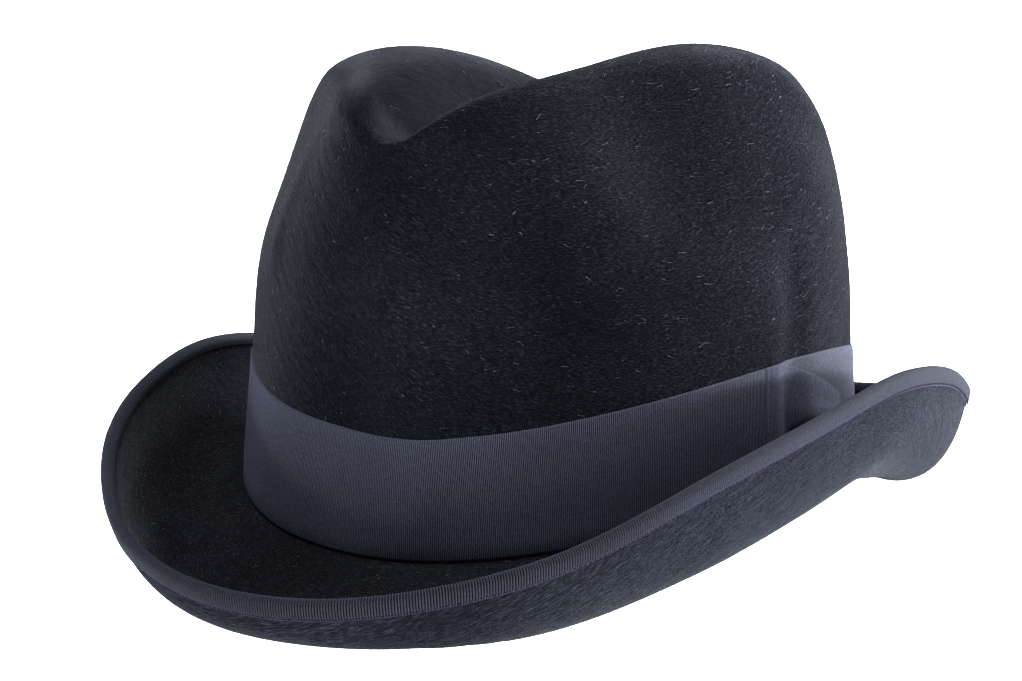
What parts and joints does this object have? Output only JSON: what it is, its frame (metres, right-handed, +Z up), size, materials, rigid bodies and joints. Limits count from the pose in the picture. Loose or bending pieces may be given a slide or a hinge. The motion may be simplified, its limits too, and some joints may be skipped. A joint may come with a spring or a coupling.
{
  "type": "fedora hat",
  "caption": "Hollow felt hat with creased and pinched crown, curled brim bound with ribbon, ribbon band and side bow.",
  "frame": {"origin": "on the floor under the middle of the brim, where the hat rests", "axes": "+Z up, -Y towards the front of the hat, +X towards the wearer's left"},
  "size_m": [0.2186, 0.3321, 0.1402],
  "materials": {
    "felt": "long-nap velour felt, matte",
    "ribbon": "fine ribbed grosgrain, soft sheen"
  },
  "bodies": {
    "root": {"felt_body": "felt", "ribbon_band": "ribbon", "brim_binding": "ribbon", "bow_knot": "ribbon", "bow_tail": "ribbon"}
  },
  "joints": []
}
